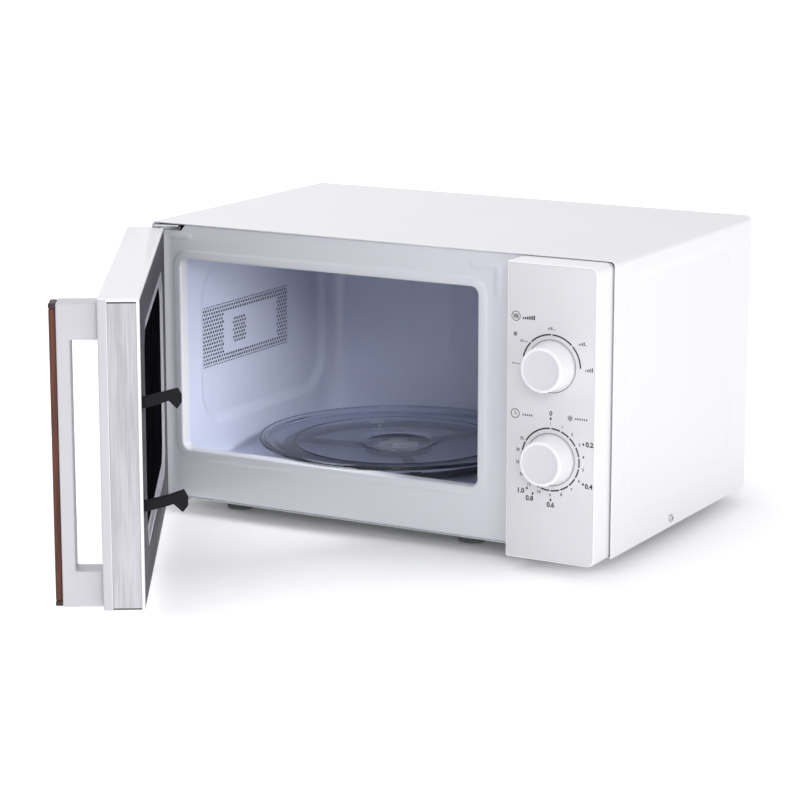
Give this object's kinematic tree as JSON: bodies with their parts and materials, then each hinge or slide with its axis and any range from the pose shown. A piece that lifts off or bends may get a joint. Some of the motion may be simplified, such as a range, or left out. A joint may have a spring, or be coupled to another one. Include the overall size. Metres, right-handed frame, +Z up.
{
  "type": "microwave oven",
  "caption": "Countertop microwave oven with a swing door, two rotary dials, a latch, a glass turntable on rollers and its working parts inside",
  "frame": {"origin": "middle of the front left foot's underside, on the surface that the oven stands on", "axes": "+Z up, +Y into the oven from its front to its back, +X towards the control panel's side"},
  "size_m": [0.4564, 0.6059, 0.255],
  "materials": {
    "cabinet_paint": "satin white enamel",
    "chamber_enamel": "pale grey enamel",
    "front_enamel": "soft white enamel",
    "bare_steel": "zinc plated sheet",
    "laminate_steel": "varnished laminations",
    "copper_winding": "enamelled wire",
    "aluminium_fin": "plain sheet",
    "mica": "mica sheet",
    "white_plastic": "smooth moulded",
    "knob_plastic": "satin moulded",
    "panel_overlay": "printed silver grey overlay",
    "trim_plastic": "fine upright grain",
    "choke_plastic": "dark grey moulded",
    "bezel_paint": "pale grey enamel",
    "window_film": "glossy black film",
    "door_pane": "dark tinted glass",
    "tray_glass": "clear pressed glass",
    "hook_plastic": "black moulded",
    "handle_wood": "dark reddish wood",
    "dark_plastic": "moulded",
    "pale_plastic": "moulded",
    "board_green": "circuit board",
    "foot_rubber": "grey rubber",
    "lamp_glass": "clear bulb",
    "screw_steel": "plated"
  },
  "bodies": {
    "oven": {"back_plate": "bare_steel", "base_plate": "bare_steel", "cabinet_screws": "screw_steel", "capacitor": "aluminium_fin", "capacitor_strap": "bare_steel", "cavity_floor": "chamber_enamel", "cavity_lamp": "lamp_glass", "cavity_liner": "chamber_enamel", "cavity_roof": "chamber_enamel", "cavity_vent_plate": "chamber_enamel", "cord_gland": "dark_plastic", "fan_motor": "laminate_steel", "fan_shroud": "bare_steel", "feet": "foot_rubber", "filter_board": "board_green", "foot_screws": "screw_steel", "front_plate": "front_enamel", "hinge_brackets": "bare_steel", "hv_diode": "dark_plastic", "lamp_holder": "pale_plastic", "latch_body": "pale_plastic", "latch_switches": "dark_plastic", "magnetron_filter_box": "bare_steel", "magnetron_tube": "aluminium_fin", "magnetron_yoke": "bare_steel", "outer_cabinet": "cabinet_paint", "panel_housing": "white_plastic", "panel_plate": "panel_overlay", "power_selector": "dark_plastic", "thermal_cutout": "dark_plastic", "timer_bell": "screw_steel", "timer_mechanism": "bare_steel", "transformer_core": "laminate_steel", "transformer_windings": "copper_winding", "turntable_motor": "bare_steel", "waveguide": "bare_steel", "waveguide_cover": "mica"},
    "door": {"door_skin": "white_plastic", "door_side_trim": "trim_plastic", "door_glass": "door_pane", "door_frame": "bare_steel", "door_choke_cover": "choke_plastic", "door_inner_bezel": "bezel_paint", "door_inner_film": "window_film", "door_handle": "white_plastic", "handle_strip": "handle_wood", "handle_screws": "screw_steel", "hook_spring": "screw_steel"},
    "latch": {"latch_hooks": "hook_plastic"},
    "interlock": {"interlock_lever": "pale_plastic"},
    "power_dial": {"power_knob": "knob_plastic", "power_spindle": "bare_steel"},
    "timer_dial": {"timer_knob": "knob_plastic", "timer_spindle": "bare_steel"},
    "turntable": {"turntable_shaft": "pale_plastic", "turntable_coupler": "pale_plastic", "glass_tray": "tray_glass"},
    "roller_ring": {"roller_ring": "dark_plastic"},
    "wheel_1": {"roller_wheel_1": "white_plastic"},
    "wheel_2": {"roller_wheel_2": "white_plastic"},
    "wheel_3": {"roller_wheel_3": "white_plastic"},
    "fan": {"fan_blade": "pale_plastic"}
  },
  "joints": [
    {"name": "door_hinge", "type": "hinge", "parent": "oven", "child": "door", "pos_m": [-0.056, -0.043, 0.1305], "axis": [0, 0, -1], "range_deg": [-58.9, 36.1]},
    {"name": "latch_slide", "type": "slide", "parent": "door", "child": "latch", "axis": [0, 0, 1], "range_m": [0, 0.0045], "stiffness_N_per_m": 180, "springref_m": -0.006},
    {"name": "interlock_pivot", "type": "hinge", "parent": "oven", "child": "interlock", "pos_m": [0.282, 0, 0.14], "axis": [-1, 0, 0], "range_deg": [0, 8], "stiffness_Nm_per_rad": 0.02, "springref_deg": -17.19},
    {"name": "power_turn", "type": "hinge", "parent": "oven", "child": "power_dial", "pos_m": [0.334, -0.066, 0.1712], "axis": [0, 1, 0], "range_deg": [-90, 90]},
    {"name": "timer_turn", "type": "hinge", "parent": "oven", "child": "timer_dial", "pos_m": [0.334, -0.066, 0.0955], "axis": [0, 1, 0], "range_deg": [0, 310]},
    {"name": "turntable_turn", "type": "hinge", "parent": "oven", "child": "turntable", "pos_m": [0.108, 0.089, 0.051], "axis": [0, 0, 1], "continuous": true},
    {"name": "ring_turn", "type": "hinge", "parent": "oven", "child": "roller_ring", "pos_m": [0.108, 0.089, 0.0445], "axis": [0, 0, 1], "continuous": true},
    {"name": "wheel_1_turn", "type": "hinge", "parent": "roller_ring", "child": "wheel_1", "pos_m": [0.07482, -0.00215, 0.0445], "axis": [-0.342, -0.9397, 0], "continuous": true},
    {"name": "wheel_2_turn", "type": "hinge", "parent": "roller_ring", "child": "wheel_2", "pos_m": [0.20353, 0.10584, 0.0445], "axis": [0.9848, 0.1736, 0], "continuous": true},
    {"name": "wheel_3_turn", "type": "hinge", "parent": "roller_ring", "child": "wheel_3", "pos_m": [0.04565, 0.16331, 0.0445], "axis": [-0.6428, 0.766, 0], "continuous": true},
    {"name": "fan_turn", "type": "hinge", "parent": "oven", "child": "fan", "pos_m": [0.317, 0.201, 0.19], "axis": [0, 1, 0], "continuous": true}
  ],
  "couplings": [
    {"joint": "ring_turn", "follows": "turntable_turn", "ratio": 0.5},
    {"joint": "wheel_1_turn", "follows": "turntable_turn", "ratio": -7.6984},
    {"joint": "wheel_2_turn", "follows": "turntable_turn", "ratio": -7.6984},
    {"joint": "wheel_3_turn", "follows": "turntable_turn", "ratio": -7.6984}
  ]
}
